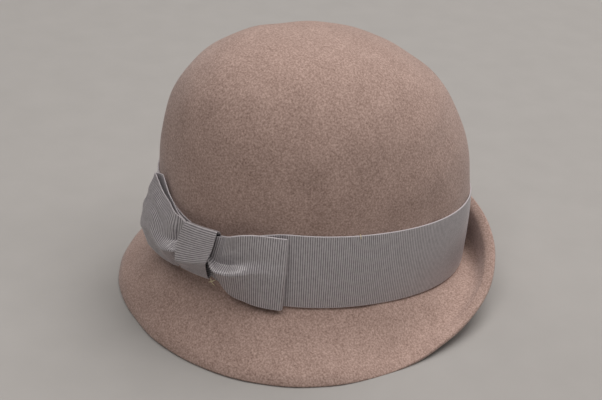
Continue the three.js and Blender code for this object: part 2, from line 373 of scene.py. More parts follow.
@dataclass(frozen=True)
class WoolFelt:
    """Fur-soft wool felt, steamed over a block and brushed.

    The eye sees a matt, slightly pink taupe, mottled by fibres of lighter and darker wool, with a soft bloom
    where the nap is seen edge on.
    """

    dark: str = "#876f65"
    light: str = "#c9afa5"
    fibre: float = 1.1  # a tuft of wool: single fibres are too fine to show
    cloud: float = 16.0
    cloud_share: float = 0.12
    tone_range: Pair = (0.3, 0.7)
    nap: float = 0.5
    nap_depth: float = 0.25
    nap_strength: float = 0.6
    roughness: float = 0.95
    specular: float = 0.2
    sheen: float = 0.22
    sheen_roughness: float = 0.5
    sheen_tint: str = "#f4f2f6"

    def material(self) -> Material:
        """Makes the felt.

        Returns:
            The material.
        """
        material, tree, shader = new_material(
            "brushed_wool_felt",
            Roughness=self.roughness,
            Specular_IOR_Level=self.specular,
            Sheen_Weight=self.sheen,
            Sheen_Roughness=self.sheen_roughness,
            Sheen_Tint=linear(self.sheen_tint),
        )
        place = {"Vector": add_node(tree, "ShaderNodeTexCoord").outputs["Object"]}
        fibres = add_node(tree, NOISE, place, Scale=per_metre(self.fibre), Detail=3.0, Roughness=0.6)
        clouds = add_node(tree, NOISE, place, Scale=per_metre(self.cloud))
        feeds = {"A_Float": fibres.outputs["Fac"], "B_Float": clouds.outputs["Fac"]}
        tone = add_node(tree, MIX, feeds, Factor_Float=self.cloud_share)
        low, high = self.tone_range
        spread = add_node(tree, MAP_RANGE, {"Value": tone.outputs["Result"]}, From_Min=low, From_Max=high)
        ends = {"A_Color": linear(self.dark), "B_Color": linear(self.light)}
        colour = add_node(tree, MIX, {"Factor_Float": spread.outputs["Result"]}, data_type="RGBA", **ends)
        hairs = add_node(
            tree, NOISE, place, Scale=per_metre(self.nap), Detail=4.0, Roughness=0.7, Distortion=0.6
        )
        feeds = {"Height": hairs.outputs["Fac"]}
        bump = add_node(tree, BUMP, feeds, Strength=self.nap_strength, Distance=self.nap_depth * MM)
        tree.links.new(colour.outputs[COLOUR_RESULT], shader.inputs["Base Color"])
        tree.links.new(bump.outputs["Normal"], shader.inputs["Normal"])
        return material


@dataclass(frozen=True)
class Grosgrain:
    """Grosgrain, woven with thick weft ribs under a fine warp.

    The eye sees even grey ribs with dark lines between them, a low gloss along the crests and a paler,
    smooth selvedge. The dark lines are painted shade: the groove tone darkens the colour between the ribs
    where shade falls, and the crest tone paints their tops lighter, as if lit.
    """

    # painted shade: the tone between the ribs stands in for the shade that falls in the grooves
    painted_groove_shade: str = "#5a555a"
    # painted light: the rib tops are drawn lighter than the ribbon's own grey, as if lit
    crest: str = "#d4cfd3"
    selvedge: str = "#cfcacf"
    slub: float = 2.4
    slub_range: Pair = (0.2, 0.8)
    slub_depth: float = 0.14
    warp: float = 0.35
    warp_depth: float = 0.06
    warp_strength: float = 0.5
    roughness: float = 0.32
    specular: float = 1.0
    sheen: float = 0.1
    sheen_roughness: float = 0.4

    def material(self) -> Material:
        """Makes the ribbon, which reads the rib and selvedge marks, with painted shade in the grooves.

        Returns:
            The material.
        """
        material, tree, shader = new_material(
            "grosgrain_weave",
            Roughness=self.roughness,
            Specular_IOR_Level=self.specular,
            Sheen_Weight=self.sheen,
            Sheen_Roughness=self.sheen_roughness,
        )
        place = {"Vector": add_node(tree, "ShaderNodeTexCoord").outputs["Object"]}
        rib = add_node(tree, "ShaderNodeAttribute", attribute_name="rib").outputs["Fac"]
        edge = add_node(tree, "ShaderNodeAttribute", attribute_name="selvedge").outputs["Fac"]
        slubs = add_node(tree, NOISE, place, Scale=per_metre(self.slub), Detail=3.0, Roughness=0.6)
        uneven = add_node(
            tree,
            MAP_RANGE,
            {"Value": slubs.outputs["Fac"]},
            From_Min=self.slub_range[0],
            From_Max=self.slub_range[1],
            To_Min=-self.slub_depth,
            To_Max=self.slub_depth,
        )
        feeds = {"Value": rib, "Value_001": uneven.outputs["Result"]}
        height = add_node(tree, "ShaderNodeMath", feeds, operation="ADD")
        # from the groove tone to the crest tone by rib height: painted shade in the grooves and painted
        # light on the crests
        ends = {"A_Color": linear(self.painted_groove_shade), "B_Color": linear(self.crest)}
        ribs = add_node(tree, MIX, {"Factor_Float": height.outputs["Value"]}, data_type="RGBA", **ends)
        feeds = {"Factor_Float": edge, "A_Color": ribs.outputs[COLOUR_RESULT]}
        colour = add_node(tree, MIX, feeds, data_type="RGBA", B_Color=linear(self.selvedge))
        threads = add_node(tree, NOISE, place, Scale=per_metre(self.warp))
        feeds = {"Height": threads.outputs["Fac"]}
        bump = add_node(tree, BUMP, feeds, Strength=self.warp_strength, Distance=self.warp_depth * MM)
        tree.links.new(colour.outputs[COLOUR_RESULT], shader.inputs["Base Color"])
        tree.links.new(bump.outputs["Normal"], shader.inputs["Normal"])
        return material


@dataclass(frozen=True)
class TwoTone:
    """A matt finish of two tones, mixed in grains of a real size."""

    name: str
    dark: str
    light: str
    grain: float
    detail: float
    roughness: float

    def material(self) -> Material:
        """Makes the finish.

        Returns:
            The material.
        """
        material, tree, shader = new_material(self.name, Roughness=self.roughness)
        place = {"Vector": add_node(tree, "ShaderNodeTexCoord").outputs["Object"]}
        grains = add_node(tree, NOISE, place, Scale=per_metre(self.grain), Detail=self.detail)
        ends = {"A_Color": linear(self.dark), "B_Color": linear(self.light)}
        colour = add_node(tree, MIX, {"Factor_Float": grains.outputs["Fac"]}, data_type="RGBA", **ends)
        tree.links.new(colour.outputs[COLOUR_RESULT], shader.inputs["Base Color"])
        return material


@dataclass(frozen=True)
class CottonThread(TwoTone):
    """Spun cotton sewing thread: the eye sees a dull straw-coloured strand, darker between its plies."""

    name: str = "spun_cotton_thread"
    dark: str = "#c8b68a"
    light: str = "#f4ead0"
    grain: float = 0.5
    detail: float = 2.0
    roughness: float = 0.8


@dataclass(frozen=True)
class PaintedFloor(TwoTone):
    """A floor rolled with matt paint: the eye sees an even pale ground with hardly any grain."""

    name: str = "matt_paint"
    dark: str = "#a4a2a0"
    light: str = "#acaaa8"
    grain: float = 30.0
    detail: float = 4.0
    roughness: float = 0.9


# Felt


class Dent(NamedTuple):
    """A soft dent in the crown, with its middle, depth and spreads."""

    turn_deg: float
    climb: float
    depth: float
    turn_spread: float
    climb_spread: float


@dataclass(frozen=True)
class Crown:
    """The crown's outside: climb is 0 at the break line, where the brim starts, and 1 at the top."""

    head_length: float = 203.0
    head_width: float = 166.0
    head_power: float = 2.14
    break_height: float = 25.0
    break_slope: float = 0.098
    height: float = 148.0
    side_power: float = 2.45
    top_power: float = 2.97
    fullness: float = 0.087
    lean: float = 5.0
    lean_power: float = 2.4
    dents: tuple[Dent, ...] = (
        Dent(150.0, 0.76, 0.9, 38.0, 0.14),
        Dent(-25.0, 0.36, -1.1, 45.0, 0.2),
    )
    wall_top: float = 0.7  # a climb well above the ribbon
    wall_steps: int = 2800

    def point(self, turn: Array, climb: Array) -> Array:
        """Points of the crown.

        Args:
            turn: Turns of the points.
            climb: Climbs of the points.

        Returns:
            Points, with coordinates on the last axis.
        """
        turn, climb = np.broadcast_arrays(turn, climb)
        angle = climb * (math.pi / 2.0)
        inward = np.clip(np.cos(angle), 0.0, 1.0) ** (2.0 / self.side_power)
        upward = np.sin(angle) ** (2.0 / self.top_power)
        dent = sum(
            row.depth
            * bell(degrees_between(turn, row.turn_deg), row.turn_spread)
            * bell(climb - row.climb, row.climb_spread)
            for row in self.dents
        )
        scale = inward * (1.0 + self.fullness * upward) * (1.0 - dent / (self.head_length / 2.0))
        flat = oval(turn, self.head_length, self.head_width, self.head_power) * scale[..., None]
        across, ahead = flat[..., 0], flat[..., 1]
        rise = self.break_height + (self.height - dent) * upward - self.break_slope * ahead
        return np.stack([across, ahead - self.lean * upward**self.lean_power, rise], -1)

    def normal(self, turn: Array, climb: Array) -> Array:
        """Directions straight out of the crown.

        Args:
            turn: Turns of the points.
            climb: Climbs of the points.

        Returns:
            Unit vectors.
        """
        step = 1e-3
        low = np.maximum(climb, step)
        around = self.point(turn + step, low) - self.point(turn - step, low)
        up = self.point(turn, low + step) - self.point(turn, low)
        return unit(np.cross(around, up))

    def climb_at(self, up: Array) -> Array:
        """The climb at a height up the wall from the break line, measured at the side of the hat."""
        climbs = np.linspace(0.0, self.wall_top, self.wall_steps + 1)
        return np.interp(up, lengths_along(self.point(math.pi / 2.0, climbs)), climbs)


class BrimSection(NamedTuple):
    """The brim at a turn.

    Fall and lift are its slopes down at the break line and up at the edge, rise is the edge's height, and
    handle is how far the felt keeps those slopes. Roll and curl are how far its lip rolls outwards and down,
    and spread is how far the edge is outside its oval.
    """

    turn_deg: float
    fall: float
    lift: float
    rise: float
    handle: float
    roll: float
    curl: float
    spread: float


BRIM_SECTIONS = (
    BrimSection(0, 57, -50, 0, 15, 0, 3, 2.4),
    BrimSection(35, 55, -46, 0, 15, 0, 3, 1),
    BrimSection(70, 49, -32, 0, 15, 0, 3, 2.6),
    BrimSection(92, 36, 2, 1, 15, 1.5, 2.4, 0.6),
    BrimSection(110, 22, 32, 8.5, 14, 4, 1.6, 0),
    BrimSection(130, 14, 52, 22.5, 13, 5, 1.2, 1.6),
    BrimSection(155, 12, 68, 38, 15, 5, 0.8, 0),
    BrimSection(180, 20, 76, 45, 17, 5, 0.8, 0),
)


@dataclass(frozen=True)
class FeltHood:
    """Crown and brim in one wall of felt, down to the cut edge of the brim."""

    crown: Crown = field(default_factory=Crown)
    felt: float = 2.8
    brim_length: float = 243.0
    brim_width: float = 237.0
    brim_power: float = 2.26
    brim_forward: float = 6.0
    lip_start: float = 0.86
    lip_inset: float = 0.3
    edge_depth: float = 1.1
    edge_squareness: float = 0.75
    unevenness: float = 0.22
    uneven_wavelength: float = 34.0
    uneven_seed: int = 5
    columns: int = 320
    brim_rows: int = 44
    crown_rows: int = 84
    crown_grading: float = 1.5  # above 1, rows are closer together near the break line
    edge_rows: int = 7

    def brim_point(self, turn: Array, run: Array) -> Array:
        """Points of the brim's upper side.

        Args:
            turn: Turns of the points.
            run: 0 at the break line and 1 at the edge.

        Returns:
            Points, with coordinates on the last axis.
        """
        section = Table(BRIM_SECTIONS).at(degrees_between(turn, 0.0))
        fall, lift = np.radians(section.fall), np.radians(section.lift)
        start = self.crown.point(turn, 0.0)
        end = oval(turn, self.brim_length, self.brim_width, self.brim_power)
        end = end - [0.0, self.brim_forward]
        out = unit(end - start[..., :2])
        inset = self.felt * self.lip_inset * np.maximum(np.sin(lift), 0.0) + section.roll
        end = end + out * (section.spread - inset)[..., None]
        level = np.maximum(section.rise, 0.0) + section.curl
        end = np.concatenate([end, level[..., None]], -1)

        def along(slope: Array) -> Array:
            """A handle's way from the break line outwards, at a slope upwards."""
            return section.handle[..., None] * np.concatenate(
                [out * np.cos(slope)[..., None], np.sin(slope)[..., None]], -1
            )

        leave = start + along(-fall)
        arrive = end - along(lift)
        share = np.asarray(run, float)[..., None]
        rest = 1.0 - share
        near_start = rest**3 * start + 3 * rest**2 * share * leave
        point = near_start + 3 * rest * share**2 * arrive + share**3 * end
        lip = np.clip((share - self.lip_start) / (1.0 - self.lip_start), 0.0, 1.0) ** 2
        return point + lip * np.concatenate([section.roll[..., None] * out, -section.curl[..., None]], -1)

    def outside(self) -> Array:
        """The hood's outer side.

        Returns:
            A grid of points, in rows from the brim's edge to near the top.
        """
        turns = np.linspace(0.0, 2.0 * math.pi, self.columns, endpoint=False)[None, :]
        handle = Table(BRIM_SECTIONS).at(degrees_between(turns, 0.0)).handle
        # The brim's curve ends at three times its handle for each run, and the rounded edge comes after.
        last = 1.0 - self.edge_depth / (3.0 * handle)
        runs = np.linspace(1.0, 0.0, self.brim_rows, endpoint=False)[:, None] * last
        climbs = np.linspace(0.0, 1.0, self.crown_rows, endpoint=False)[:, None] ** self.crown_grading
        turns_here = np.broadcast_to(turns, runs.shape)
        return np.concatenate([self.brim_point(turns_here, runs), self.crown.point(turns, climbs)])

    def build(self, finish: WoolFelt) -> Object:
        """Makes the hood.

        Args:
            finish: The felt.

        Returns:
            The piece, which stands for the solid felt body.
        """
        outside = self.outside()
        normals = grid_normals(outside, False, True)
        rough = unevenness(outside, self.uneven_wavelength, self.uneven_seed) * self.unevenness
        outside = outside + normals * rough[..., None]
        inside = (outside - normals * self.felt)[::-1]
        angles = (np.arange(self.edge_rows) + 1) * math.pi / (self.edge_rows + 1)
        over = np.sign(np.cos(angles)) * np.abs(np.cos(angles)) ** self.edge_squareness
        past = np.sin(angles) ** self.edge_squareness
        outward = unit(outside[0] - outside[1])
        edge = [
            outside[0] - normals[0] * (self.felt / 2.0) * (1.0 + level) + outward * self.edge_depth * reach
            for level, reach in zip(over, past)
        ]
        grid = np.concatenate([inside, np.stack(edge), outside])
        grid[..., 2] = np.maximum(grid[..., 2], 0.0)  # the felt gives way where it lies on the floor
        top = self.crown.point(0.0, 1.0)
        tips = np.stack([top - [0.0, 0.0, self.felt], top])
        points = np.concatenate([grid.reshape(-1, 3), tips])
        inner_tip, outer_tip = len(points) - 2, len(points) - 1
        last_row = inner_tip - self.columns
        ring = np.arange(self.columns)
        pairs = list(zip(ring, np.roll(ring, -1)))
        fans = [(inner_tip, after, here) for here, after in pairs]
        fans += [(outer_tip, last_row + here, last_row + after) for here, after in pairs]
        faces = [*loft_faces(len(grid), self.columns, False), *fans]
        hood = add_piece("felt_hood", points, faces, {}, finish.material())
        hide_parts("felt_body")
        return hood


# Ribbon


@dataclass(frozen=True)
class Ribbon:
    """Grosgrain ribbon as it is woven, and how a length of it becomes a mesh."""

    width: float = 50.0
    thickness: float = 0.8
    rib_pitch: float = 1.35  # a real rib is nearer 1 mm, which is too fine to show in a picture
    rib_height: float = 0.28
    rib_roundness: float = 1.6
    rib_samples: int = 4
    selvedge: float = 0.45
    selvedge_places: tuple[float, ...] = (0.0, 0.12, 0.35, 0.7, 1.2)
    selvedge_fade: Pair = (0.3, 1.2)  # in selvedges: the ribs begin, and are whole
    selvedge_height: float = 0.75  # in ribs
    edge_radius: float = 0.4
    edge_bluntness: float = 0.1

    def across(self, width: float, count: int) -> Array:
        """Shares of a ribbon's width where its mesh has points.

        Args:
            width: Width of the ribbon.
            count: Number of steps between the selvedges.

        Returns:
            Rising shares from 0 to 1, closer together in the selvedges.
        """
        edge = np.array(self.selvedge_places) / width
        middle = np.linspace(edge[-1], 1.0 - edge[-1], count + 1)[1:-1]
        return np.concatenate([edge, middle, 1.0 - edge[::-1]])

    def samples(self, length: float) -> int:
        """Number of mesh rows for the whole ribs of a length."""
        return round(length / self.rib_pitch) * self.rib_samples

    def strip(
        self, middle: Array, width: float, across: Array, closed: bool, folded_edges: bool = False
    ) -> tuple[Array, Array, dict]:
        """Thickens a surface into a ribbon with ribs on both faces.

        Args:
            middle: Points of the ribbon's mid surface, in rows along it and columns across it.
            width: Width of the ribbon.
            across: Shares of the width at the columns.
            closed: Whether the ribbon closes on itself along its length.
            folded_edges: Whether its edges are turned under, so that no selvedge shows.

        Returns:
            Points, faces, and the rib and selvedge marks at the points.
        """
        rows, columns = middle.shape[:2]
        normals = grid_normals(middle, closed, False)
        inset = np.minimum(across, 1.0 - across) * width
        phase = (np.arange(rows) % self.rib_samples) / self.rib_samples
        crest = np.abs(np.sin(math.pi * phase)) ** self.rib_roundness
        plain = 1.0 - ease(inset / self.selvedge, *self.selvedge_fade)
        if folded_edges:
            plain = np.zeros_like(plain)
        rib = mix(crest[:, None], self.selvedge_height, plain[None, :])
        in_from_edge = np.clip(inset / self.edge_radius, self.edge_bluntness, 1.0)
        rounding = np.sqrt(1.0 - (1.0 - in_from_edge) ** 2)
        half = (self.thickness / 2.0 + self.rib_height * (rib - 0.5)) * rounding[None, :]
        outer = middle + normals * half[..., None]
        inner = middle - normals * half[..., None]
        grid = np.concatenate([outer, inner[:, ::-1]], 1)
        faces = loft_faces(rows, 2 * columns, closed)
        if not closed:
            column = np.arange(columns - 1)
            cap = np.stack([column, column + 1, 2 * columns - 2 - column, 2 * columns - 1 - column], -1)
            faces = np.concatenate([faces, cap[:, ::-1], cap + (rows - 1) * 2 * columns])
        points = grid.reshape(-1, 3)
        edge = np.broadcast_to(plain[None, :], rib.shape)
        marks = {
            "rib": np.concatenate([rib, rib[:, ::-1]], 1),
            "selvedge": np.concatenate([edge, edge[:, ::-1]], 1),
        }
        return points, facing_out(points, faces), marks


class BandEdge(NamedTuple):
    """The band's two edges at a distance from the knot."""

    along: float
    low: float
    high: float


BAND_EDGES = (
    BandEdge(0, 11, 40),
    BandEdge(10, 8.2, 41),
    BandEdge(22, 4.4, 43.4),
    BandEdge(32, 3, 46.6),
    BandEdge(40, 1.6, 49.4),
    BandEdge(50, 1.4, 51.4),
    BandEdge(62, 1.4, 51.8),
)


@dataclass(frozen=True)
class RibbonBand:
    """The ribbon round the crown, pinched under the bow, and the places that are measured from it.

    Middle and face are how far the ribbon's mid surface and its face are off the felt.
    """

    crown: Crown = field(default_factory=Crown)
    ribbon: Ribbon = field(default_factory=Ribbon)
    bow_turn_deg: float = 20.5
    middle: float = 0.6
    face: float = 1.3
    columns: int = 14
    girth_steps: int = 4000

    def middle_line(self) -> tuple[Array, Array]:
        """The band's middle, over one whole turn.

        Returns:
            Distances round it from the knot, and the turns there.
        """
        bow_turn = math.radians(self.bow_turn_deg)
        turns = bow_turn + np.linspace(-math.pi, math.pi, self.girth_steps + 1)
        line = self.crown.point(turns, self.crown.climb_at(self.ribbon.width / 2.0))
        lengths = lengths_along(line)
        return lengths - np.interp(bow_turn, turns, lengths), turns

    def place(self, along: Array, up: Array, off: Array) -> Array:
        """Points near the band.

        Args:
            along: Distance round the band from the knot's middle.
            up: Distance up from the break line.
            off: Distance off the band's face.

        Returns:
            Points, with coordinates on the last axis.
        """
        lengths, turns = self.middle_line()
        turn = np.interp(along, lengths, turns)
        climb = self.crown.climb_at(up)
        lift = (self.face + np.asarray(off, float))[..., None]
        return self.crown.point(turn, climb) + self.crown.normal(turn, climb) * lift

    def build(self, finish: Material) -> Object:
        """Makes the band.

        Args:
            finish: The ribbon's material.

        Returns:
            The piece, which stands for the solid band.
        """
        lengths, _ = self.middle_line()
        girth = lengths[-1] - lengths[0]
        count = self.ribbon.samples(girth)
        along = (lengths[0] + girth * np.arange(count) / count)[:, None]
        half = self.ribbon.width / 2.0
        reach = np.linalg.norm(self.place(along, half, 0.0) - self.place(0.0, half, 0.0), axis=-1)
        edges = Table(BAND_EDGES).at(reach)
        across = self.ribbon.across(self.ribbon.width, self.columns)
        up = mix(edges.low, edges.high, across[None, :])
        surface = self.place(np.broadcast_to(along, up.shape), up, self.middle - self.face)
        points, faces, marks = self.ribbon.strip(surface, self.ribbon.width, across, True)
        band = add_piece("ribbon_band_woven", points, faces, marks, finish)
        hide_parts("ribbon_band")
        return band


KNOT_LEAN = 0.225  # the knot leans across the band this much for each millimetre up,
KNOT_MIDDLE = 33.5  # and is level with its own middle at this height


class LoopSection(NamedTuple):
    """A loop at a distance from the knot.

    Low and high are the edges of its outer layer, and inner_high is the upper edge of its inner one. The
    rest is how far the outer layer stands off the band, from its lower edge over a ridge and a valley, at
    the shares ridge_up and valley_up of its width, and over a brow to its upper edge.
    """

    along: float
    low: float
    high: float
    inner_high: float
    off_low: float
    ridge_up: float
    ridge: float
    valley_up: float
    valley: float
    brow: float
    off_high: float


FRONT_LOOP = (
    LoopSection(2, 14, 41.4, 37, 3.8, 0.3, 6.6, 0.46, 3.6, 3.6, 3.6),
    LoopSection(11, 13.2, 41.8, 38, 3.8, 0.36, 9, 0.5, 3.6, 3.6, 3.6),
    LoopSection(12.6, 8.4, 42.6, 40, 3.8, 0.44, 11, 0.53, 3.6, 3.6, 3.6),
    LoopSection(15, 7.4, 43.8, 42, 3.8, 0.435, 12, 0.54, 3.6, 3.6, 3.6),
    LoopSection(17, 7, 44.6, 43, 3.8, 0.415, 12.4, 0.54, 4, 4.2, 4),
    LoopSection(18.8, 6.8, 45.2, 43.6, 4, 0.4, 12.6, 0.54, 5.2, 6, 4.6),
    LoopSection(21, 6.6, 45.8, 44.2, 4.2, 0.38, 12.8, 0.53, 6.4, 6.8, 4.4),
    LoopSection(26, 6.5, 47.9, 46.2, 4.9, 0.365, 13, 0.53, 8.4, 7.2, 3.4),
    LoopSection(30, 6.3, 49.2, 48.2, 5.8, 0.41, 13, 0.58, 10.2, 7.6, 3.3),
    LoopSection(34, 6.4, 50.6, 50.2, 6.8, 0.46, 13.2, 0.65, 11.2, 8, 3.4),
    LoopSection(46, 9.4, 58, 58.4, 10.4, 0.3, 14.2, 0.55, 12, 8.4, 4.4),
)
BACK_LOOP = (
    LoopSection(2, 26.4, 41.8, 37, 6, 0.06, 6.4, 0.16, 3.6, 3.6, 3.6),
    LoopSection(10.6, 26, 43, 38, 7.4, 0.05, 8.8, 0.12, 4.2, 3.6, 3.6),
    LoopSection(12.4, 24, 43.6, 39.6, 6.8, 0.06, 9.6, 0.12, 3.7, 3.6, 3.6),
    LoopSection(14.2, 20.2, 44.3, 41, 5.6, 0.14, 10.2, 0.22, 3.6, 3.7, 3.8),
    LoopSection(16, 15, 45.8, 42.2, 4.4, 0.255, 10.5, 0.33, 3.6, 5.8, 6),
    LoopSection(17.9, 10.4, 47.1, 43.2, 3.6, 0.345, 10.6, 0.42, 3.6, 6, 7.2),
    LoopSection(20.4, 6, 48, 44.4, 3.3, 0.405, 10.4, 0.485, 3.6, 5.7, 7.4),
    LoopSection(22.8, 3.8, 48.6, 45.3, 3.2, 0.44, 10, 0.53, 3.6, 5.3, 7),
    LoopSection(28.6, 2.7, 50.1, 47.4, 3.4, 0.47, 8.8, 0.59, 4, 5, 5.8),
    LoopSection(35, 1.5, 50.8, 48.8, 3.7, 0.51, 7.2, 0.66, 4.2, 4.6, 4.4),
    LoopSection(51, 1, 50.6, 49.4, 4, 0.5, 4.8, 0.72, 4.1, 3.9, 3),
)


@dataclass(frozen=True)
class BowLoop:
    """One loop of the bow: out along the band, round a fold and back over itself to the knot.

    End_slant is how much shorter the loop is along its lower edge, and inner_short how much shorter its
    inner layer is, both as shares of its length.
    """

    name: str
    node: str
    side: Side
    sections: tuple[LoopSection, ...]
    end_slant: float = 0.0
    inner_short: float = 0.0
    band: RibbonBand = field(default_factory=RibbonBand)
    start: float = 2.0
    back_off_knot: float = 2.3
    back_off_band: float = 0.9
    back_off_reach: Pair = (18.0, 30.0)
    fold_bulge: float = 0.45
    brow_share: float = 0.45
    ridge_roundness: float = 0.9
    lean_reach: Pair = (12.0, 26.0)
    columns: int = 60
    layer_steps: int = 80
    fold_steps: int = 32

    def arch(self, section: LoopSection, across: Array) -> Array:
        """How far the outer layer stands off the band.

        Args:
            section: The loop's sizes at each row.
            across: Shares of the ribbon's width.

        Returns:
            Distances off the band, in rows along and columns across.
        """
        brow_up = mix(section.valley_up, 1.0, self.brow_share)
        climb = 1.0 - np.clip(1.0 - across / section.ridge_up, 0.0, 1.0) ** self.ridge_roundness
        off = mix(section.off_low, section.ridge, climb)
        off = off + (section.valley - section.ridge) * ease(across, section.ridge_up, section.valley_up)
        off = off + (section.brow - section.valley) * ease(across, section.valley_up, brow_up)
        return off + (section.off_high - section.brow) * ease(across, brow_up, 1.0)

    def surface(self, along: Array, layer: Array, fold: Array, across: Array) -> Array:
        """Points of the ribbon's mid surface.

        Args:
            along: Distance from the knot of each row.
            layer: 0 on the inner layer, 1 on the outer one, and between them in the fold.
            fold: How far the row is round the fold, 1 in its middle and 0 outside it.
            across: Shares of the ribbon's width at the columns.

        Returns:
            Points in rows along the ribbon and columns across it.
        """
        section = Table(self.sections).at(along)
        section = type(section)(*(column[:, None] for column in section))
        share = across[None, :]
        layer = layer[:, None]
        settle = ease(along, *self.back_off_reach)
        back = mix(self.back_off_knot, self.back_off_band, settle)[:, None]
        outer = self.arch(section, share)
        off = mix(back, outer, layer)
        up = mix(section.low, mix(section.inner_high, section.high, layer), share)
        slant = 1.0 - self.end_slant * (1.0 - share)
        length = section.along * slant * (1.0 - self.inner_short * (1.0 - layer))
        reach = self.side.value * (length + self.fold_bulge * (outer - back) * fold[:, None])
        leaning = 1.0 - ease(along, *self.lean_reach)[:, None]
        return self.band.place(reach + leaning * KNOT_LEAN * (up - KNOT_MIDDLE), up, off)

    def build(self, finish: Material) -> Object:
        """Makes the loop.

        Args:
            finish: The ribbon's material.

        Returns:
            The piece, which stands for the loop's solid.
        """
        ribbon = self.band.ribbon
        end = self.sections[-1].along
        out = np.linspace(self.start, end, self.layer_steps)
        fold = np.linspace(0.0, math.pi, self.fold_steps + 1)[1:-1]
        along = np.concatenate([out, np.full(len(fold), end), out[::-1]])
        angle = np.pad(fold, len(out), constant_values=(0.0, math.pi))
        layer, round_it = (1.0 - np.cos(angle)) / 2.0, np.sin(angle)
        line = self.surface(along, layer, round_it, np.array([0.5]))[:, 0]
        lengths = lengths_along(line)
        places = np.linspace(0.0, lengths[-1], ribbon.samples(lengths[-1]) + 1)
        along, layer, round_it = (np.interp(places, lengths, values) for values in (along, layer, round_it))
        across = ribbon.across(ribbon.width, self.columns)
        middle = self.surface(along, layer, round_it, across)
        points, faces, marks = ribbon.strip(middle, ribbon.width, across, False)
        loop = add_piece(self.name, points, faces, marks, finish)
        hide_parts(self.node)
        return loop


class WrapPoint(NamedTuple):
    """A point of the knot's wrap, seen along the band.

    Up and off place it, tilt is how far the ribbon rises there for each millimetre across the knot, and left
    and right are how far the knot's two edges are from its middle.
    """

    up: float
    off: float
    tilt: float
    left: float
    right: float


KNOT_WRAP = (
    WrapPoint(28, 0.95, 0.1, 11, 11),
    WrapPoint(17, 0.95, 0.1, 11, 11),
    WrapPoint(12, 1.2, 0.1, 11, 11),
    WrapPoint(9.8, 1.9, 0.12, 11, 11),
    WrapPoint(9.4, 3.1, 0.12, 11, 10.8),
    WrapPoint(15.2, 6.4, 0.2, 10, 10.4),
    WrapPoint(21.4, 10.5, 0.4, 9.6, 11),
    WrapPoint(23.4, 11.3, 0.41, 10, 11.5),
    WrapPoint(25.6, 11.1, 0.38, 10.6, 11.5),
    WrapPoint(34, 8.9, 0.2, 12.2, 11.2),
    WrapPoint(43.4, 6.4, 0.1, 11.6, 10.2),
    WrapPoint(45.6, 5.1, 0.1, 11.2, 10),
    WrapPoint(45, 3.5, 0.1, 11, 10.2),
    WrapPoint(43, 1.9, 0.1, 11, 11),
    WrapPoint(38.5, 1, 0.1, 11, 11),
)


@dataclass(frozen=True)
class BowKnot:
    """The short ribbon wrapped once round the middle of the bow, a little askew."""

    band: RibbonBand = field(default_factory=RibbonBand)
    width: float = 22.0
    columns: int = 14
    corner_steps: int = 24

    def wrap(self) -> Array:
        """A smooth closed line through the wrap's points.

        Returns:
            Points of the line, with the table's columns.
        """
        here = np.array(KNOT_WRAP, float)
        before, after = np.roll(here, 1, 0), np.roll(here, -1, 0)
        span = np.sqrt(np.linalg.norm((after - here)[:, :2], axis=1))[:, None]
        pace = (after - here) / span
        slope = np.roll(pace, 1, 0) - (after - before) / (np.roll(span, 1, 0) + span) + pace
        share = np.linspace(0.0, 1.0, self.corner_steps, endpoint=False)[:, None]
        corners = (here, slope * span, after, np.roll(slope, -1, 0) * span)
        line = cubic(*(corner[:, None] for corner in corners), share).reshape(-1, here.shape[1])
        return np.concatenate([line, line[:1]])

    def build(self, finish: Material) -> Object:
        """Makes the knot.

        Args:
            finish: The ribbon's material.

        Returns:
            The piece, which stands for the knot's solid.
        """
        ribbon = self.band.ribbon
        line = self.wrap()
        lengths = lengths_along(line[:, :2])
        count = ribbon.samples(lengths[-1])
        places = lengths[-1] * np.arange(count) / count
        up, off, tilt, left, right = (np.interp(places, lengths, column)[:, None] for column in line.T)
        across = ribbon.across(self.width, self.columns)
        aside = mix(-left, right, across[None, :])
        reach = aside + KNOT_LEAN * (up - KNOT_MIDDLE)
        middle = self.band.place(reach, up + tilt * aside, np.broadcast_to(off, reach.shape))
        points, faces, marks = ribbon.strip(middle, self.width, across, True, folded_edges=True)
        knot = add_piece("bow_knot_woven", points, faces, marks, finish)
        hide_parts("bow_knot")
        return knot


class ThreadPlace(NamedTuple):
    """A place of a thread near the band."""

    along: float
    up: float
    off: float


TACK_STRANDS = (
    (ThreadPlace(4.7, 7.5, 2.6), ThreadPlace(7.4, 9.6, 4.4), ThreadPlace(9.9, 11.4, 2.6)),
    (ThreadPlace(6.4, 11.4, 2.6), ThreadPlace(7.6, 9.2, 4.6), ThreadPlace(9.0, 6.7, 2.4)),
    (ThreadPlace(96.0, 49.6, -0.4), ThreadPlace(96.0, 50.9, 1.0), ThreadPlace(96.1, 52.4, -1.6)),
)


